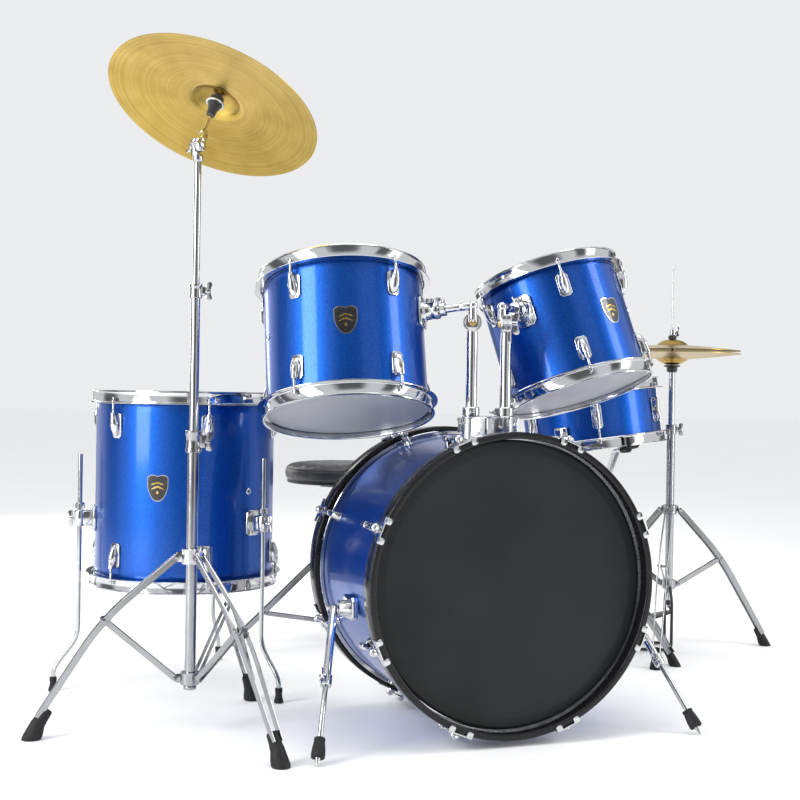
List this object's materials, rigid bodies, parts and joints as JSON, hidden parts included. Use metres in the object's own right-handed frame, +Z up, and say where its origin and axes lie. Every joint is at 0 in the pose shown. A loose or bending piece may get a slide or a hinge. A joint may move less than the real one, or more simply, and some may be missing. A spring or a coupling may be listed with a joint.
{
  "type": "acoustic drum kit",
  "caption": "Acoustic drum kit in metallic blue wrap: bass drum with mounted toms, floor tom, snare, hi-hat, crash cymbal, pedal and throne.",
  "frame": {"origin": "on the floor, under the middle of the whole kit", "axes": "+Z up, the audience side is -Y, +X is the hi-hat side"},
  "size_m": [1.9638, 1.358, 1.33],
  "materials": {
    "blue_wrap": "metallic blue wrap",
    "chrome": "polished",
    "black_hoop": "gloss black",
    "black_film": "satin black film",
    "clear_film": "hazy film",
    "cymbal_brass": "lathed",
    "black_vinyl": "black vinyl",
    "painted_black": "black"
  },
  "bodies": {
    "bass_drum": {"bass_shell": "blue_wrap", "bass_hoops": "black_hoop", "bass_front_head": "black_film", "bass_batter_head": "clear_film", "bass_tension_sets": "chrome", "bass_spur_brackets": "chrome", "tom_mount_base": "chrome", "pedal_frame": "painted_black"},
    "left_spur": {"left_spur_tube": "chrome"},
    "left_spur_rod": {"left_spur_leg": "chrome"},
    "right_spur": {"right_spur_tube": "chrome"},
    "right_spur_rod": {"right_spur_leg": "chrome"},
    "left_post": {"left_tom_post": "chrome"},
    "left_arm": {"left_tom_arm": "chrome"},
    "left_tom": {"left_tom_shell": "blue_wrap", "left_tom_hoops": "chrome", "left_tom_heads": "clear_film", "left_tom_lugs": "chrome"},
    "right_post": {"right_tom_post": "chrome"},
    "right_arm": {"right_tom_arm": "chrome"},
    "right_tom": {"right_tom_shell": "blue_wrap", "right_tom_hoops": "chrome", "right_tom_heads": "clear_film", "right_tom_lugs": "chrome"},
    "floor_tom": {"floor_tom_shell": "blue_wrap", "floor_tom_hoops": "chrome", "floor_tom_heads": "clear_film", "floor_tom_lugs": "chrome"},
    "floor_tom_leg_1": {"floor_tom_leg_1": "chrome"},
    "floor_tom_leg_2": {"floor_tom_leg_2": "chrome"},
    "floor_tom_leg_3": {"floor_tom_leg_3": "chrome"},
    "snare_stand": {"snare_stand_legs": "chrome"},
    "snare_basket": {"snare_basket": "chrome"},
    "snare_drum": {"snare_shell": "blue_wrap", "snare_hoops": "chrome", "snare_heads": "clear_film", "snare_lugs": "chrome"},
    "hihat_stand": {"hihat_stand": "chrome"},
    "hihat_upper_tube": {"hihat_upper_tube": "chrome", "hihat_bottom_cymbal": "cymbal_brass"},
    "hihat_rod": {"hihat_pull_rod": "chrome", "hihat_top_cymbal": "cymbal_brass"},
    "hihat_footboard": {"hihat_footboard": "chrome"},
    "cymbal_stand": {"cymbal_stand_tube": "chrome"},
    "cymbal_middle": {"cymbal_middle_tube": "chrome"},
    "cymbal_upper": {"cymbal_upper_tube": "chrome"},
    "cymbal_tilter": {"cymbal_tilter": "chrome"},
    "crash_cymbal": {"crash_cymbal": "cymbal_brass"},
    "cymbal_collar": {"cymbal_stand_collar": "chrome"},
    "cymbal_brace_1": {"cymbal_stand_brace_1": "chrome"},
    "cymbal_leg_1": {"cymbal_stand_leg_1": "chrome"},
    "cymbal_brace_2": {"cymbal_stand_brace_2": "chrome"},
    "cymbal_leg_2": {"cymbal_stand_leg_2": "chrome"},
    "cymbal_brace_3": {"cymbal_stand_brace_3": "chrome"},
    "cymbal_leg_3": {"cymbal_stand_leg_3": "chrome"},
    "throne_tripod": {"throne_tripod": "chrome"},
    "throne_post": {"throne_post": "chrome"},
    "throne_seat": {"throne_seat": "black_vinyl"},
    "pedal_footboard": {"pedal_footboard": "chrome"},
    "pedal_beater": {"pedal_beater": "chrome"}
  },
  "joints": [
    {"name": "left_spur_fold", "type": "hinge", "parent": "bass_drum", "child": "left_spur", "pos_m": [-0.42111, -0.49445, 0.252], "axis": [-0.9126, 0.4089, 0], "range_deg": [0, 35]},
    {"name": "left_spur_reach", "type": "slide", "parent": "left_spur", "child": "left_spur_rod", "axis": [-0.2552, -0.5695, -0.7814], "range_m": [-0.045, 0.03]},
    {"name": "right_spur_fold", "type": "hinge", "parent": "bass_drum", "child": "right_spur", "pos_m": [0.20689, -0.49445, 0.252], "axis": [-0.9126, -0.4089, 0], "range_deg": [0, 35]},
    {"name": "right_spur_reach", "type": "slide", "parent": "right_spur", "child": "right_spur_rod", "axis": [0.2552, -0.5695, -0.7814], "range_m": [-0.045, 0.03]},
    {"name": "left_tom_height", "type": "slide", "parent": "bass_drum", "child": "left_post", "axis": [0, 0, 1], "range_m": [0, 0.08]},
    {"name": "left_tom_tilt", "type": "hinge", "parent": "left_post", "child": "left_arm", "pos_m": [-0.14411, -0.50445, 0.814], "axis": [0.3305, 0.9438, 0], "range_deg": [0, 15]},
    {"name": "left_tom_reach", "type": "slide", "parent": "left_arm", "child": "left_tom", "axis": [-0.8266, 0.5454, -0.139], "range_m": [0, 0.02]},
    {"name": "right_tom_height", "type": "slide", "parent": "bass_drum", "child": "right_post", "axis": [0, 0, 1], "range_m": [0, 0.08]},
    {"name": "right_tom_tilt", "type": "hinge", "parent": "right_post", "child": "right_arm", "pos_m": [-0.07011, -0.50445, 0.814], "axis": [0.9438, -0.3305, 0], "range_deg": [0, 15]},
    {"name": "right_tom_reach", "type": "slide", "parent": "right_arm", "child": "right_tom", "axis": [0.793, 0.6085, -0.03], "range_m": [0, 0.02]},
    {"name": "floor_tom_place", "type": "slide", "parent": "bass_drum", "child": "floor_tom", "axis": [0, 1, 0], "range_m": [0, 0.08]},
    {"name": "floor_tom_leg_1_height", "type": "slide", "parent": "floor_tom", "child": "floor_tom_leg_1", "axis": [0, 0, 1], "range_m": [0, 0.1]},
    {"name": "floor_tom_leg_2_height", "type": "slide", "parent": "floor_tom", "child": "floor_tom_leg_2", "axis": [0, 0, 1], "range_m": [0, 0.1]},
    {"name": "floor_tom_leg_3_height", "type": "slide", "parent": "floor_tom", "child": "floor_tom_leg_3", "axis": [0, 0, 1], "range_m": [0, 0.1]},
    {"name": "snare_stand_place", "type": "slide", "parent": "bass_drum", "child": "snare_stand", "axis": [-0.5, 0.866, 0], "range_m": [0, 0.03]},
    {"name": "snare_height", "type": "slide", "parent": "snare_stand", "child": "snare_basket", "axis": [0, 0, 1], "range_m": [-0.04, 0]},
    {"name": "snare_lift", "type": "slide", "parent": "snare_basket", "child": "snare_drum", "axis": [-0.1181, 0.084, 0.9894], "range_m": [0, 0.035]},
    {"name": "hihat_place", "type": "slide", "parent": "bass_drum", "child": "hihat_stand", "axis": [0, -1, 0], "range_m": [0, 0.015]},
    {"name": "hihat_height", "type": "slide", "parent": "hihat_stand", "child": "hihat_upper_tube", "axis": [0, 0, 1], "range_m": [-0.03, 0]},
    {"name": "hihat_rod_travel", "type": "slide", "parent": "hihat_stand", "child": "hihat_rod", "axis": [0, 0, 1], "range_m": [-0.006, 0], "stiffness_N_per_m": 900, "springref_m": 0.03},
    {"name": "hihat_pedal", "type": "hinge", "parent": "hihat_stand", "child": "hihat_footboard", "pos_m": [0.42808, 0.22103, 0.018], "axis": [-0.342, -0.9397, 0], "range_deg": [-1.18, 0]},
    {"name": "cymbal_stand_place", "type": "slide", "parent": "bass_drum", "child": "cymbal_stand", "axis": [0, -1, 0], "range_m": [0, 0.08]},
    {"name": "cymbal_brace_1_fold", "type": "hinge", "parent": "cymbal_stand", "child": "cymbal_brace_1", "pos_m": [-0.70689, -0.37994, 0.108], "axis": [0.1253, 0.9921, 0], "range_deg": [0, 32]},
    {"name": "cymbal_leg_1_fold", "type": "hinge", "parent": "cymbal_brace_1", "child": "cymbal_leg_1", "pos_m": [-0.84579, -0.36239, 0.2265], "axis": [0.1253, 0.9921, 0], "range_deg": [-64, 0]},
    {"name": "cymbal_collar_fold", "type": "hinge", "parent": "cymbal_leg_1", "child": "cymbal_collar", "pos_m": [-0.70689, -0.37994, 0.345], "axis": [0.1253, 0.9921, 0], "range_deg": [0, 32]},
    {"name": "cymbal_brace_2_fold", "type": "hinge", "parent": "cymbal_stand", "child": "cymbal_brace_2", "pos_m": [-0.66826, -0.40926, 0.108], "axis": [-0.9219, -0.3875, 0], "range_deg": [0, 32]},
    {"name": "cymbal_leg_2_fold", "type": "hinge", "parent": "cymbal_brace_2", "child": "cymbal_leg_2", "pos_m": [-0.61401, -0.53832, 0.2265], "axis": [-0.9219, -0.3875, 0], "range_deg": [-64, 0]},
    {"name": "cymbal_brace_3_fold", "type": "hinge", "parent": "cymbal_stand", "child": "cymbal_brace_3", "pos_m": [-0.66218, -0.36115, 0.108], "axis": [0.7965, -0.6046, 0], "range_deg": [0, 32]},
    {"name": "cymbal_leg_3_fold", "type": "hinge", "parent": "cymbal_brace_3", "child": "cymbal_leg_3", "pos_m": [-0.57754, -0.24963, 0.2265], "axis": [0.7965, -0.6046, 0], "range_deg": [-64, 0]},
    {"name": "cymbal_middle_height", "type": "slide", "parent": "cymbal_stand", "child": "cymbal_middle", "axis": [0, 0, 1], "range_m": [-0.04, 0.12]},
    {"name": "cymbal_upper_height", "type": "slide", "parent": "cymbal_middle", "child": "cymbal_upper", "axis": [0, 0, 1], "range_m": [-0.1, 0.1]},
    {"name": "cymbal_tilt", "type": "hinge", "parent": "cymbal_upper", "child": "cymbal_tilter", "pos_m": [-0.67911, -0.38345, 1.15], "axis": [-0.6167, 0.7872, 0], "range_deg": [-25, 8]},
    {"name": "crash_spin", "type": "hinge", "parent": "cymbal_tilter", "child": "crash_cymbal", "pos_m": [-0.6462, -0.35767, 1.22744], "axis": [0.374, 0.293, 0.8799], "continuous": true},
    {"name": "throne_place", "type": "slide", "parent": "bass_drum", "child": "throne_tripod", "axis": [0, 1, 0], "range_m": [0, 0.1]},
    {"name": "throne_height", "type": "slide", "parent": "throne_tripod", "child": "throne_post", "axis": [0, 0, 1], "range_m": [-0.03, 0.1]},
    {"name": "throne_seat_spin", "type": "hinge", "parent": "throne_post", "child": "throne_seat", "pos_m": [-0.12111, 0.43655, 0.428], "axis": [0, 0, 1], "continuous": true},
    {"name": "beater_swing", "type": "hinge", "parent": "bass_drum", "child": "pedal_beater", "pos_m": [-0.10711, -0.21345, 0.186], "axis": [1, 0, 0], "range_deg": [0, 44], "stiffness_Nm_per_rad": 0.6, "springref_deg": -68.75},
    {"name": "pedal_press", "type": "hinge", "parent": "bass_drum", "child": "pedal_footboard", "pos_m": [-0.10711, 0.00555, 0.018], "axis": [1, 0, 0], "range_deg": [0, 13.75]}
  ],
  "couplings": [
    {"joint": "hihat_pedal", "follows": "hihat_rod_travel", "rad_per_m": 3.4364},
    {"joint": "cymbal_leg_1_fold", "follows": "cymbal_brace_1_fold", "ratio": -2},
    {"joint": "cymbal_collar_fold", "follows": "cymbal_brace_1_fold", "ratio": 1},
    {"joint": "cymbal_brace_2_fold", "follows": "cymbal_brace_1_fold", "ratio": 1},
    {"joint": "cymbal_leg_2_fold", "follows": "cymbal_brace_1_fold", "ratio": -2},
    {"joint": "cymbal_brace_3_fold", "follows": "cymbal_brace_1_fold", "ratio": 1},
    {"joint": "cymbal_leg_3_fold", "follows": "cymbal_brace_1_fold", "ratio": -2},
    {"joint": "pedal_press", "follows": "beater_swing", "ratio": 0.3125}
  ]
}
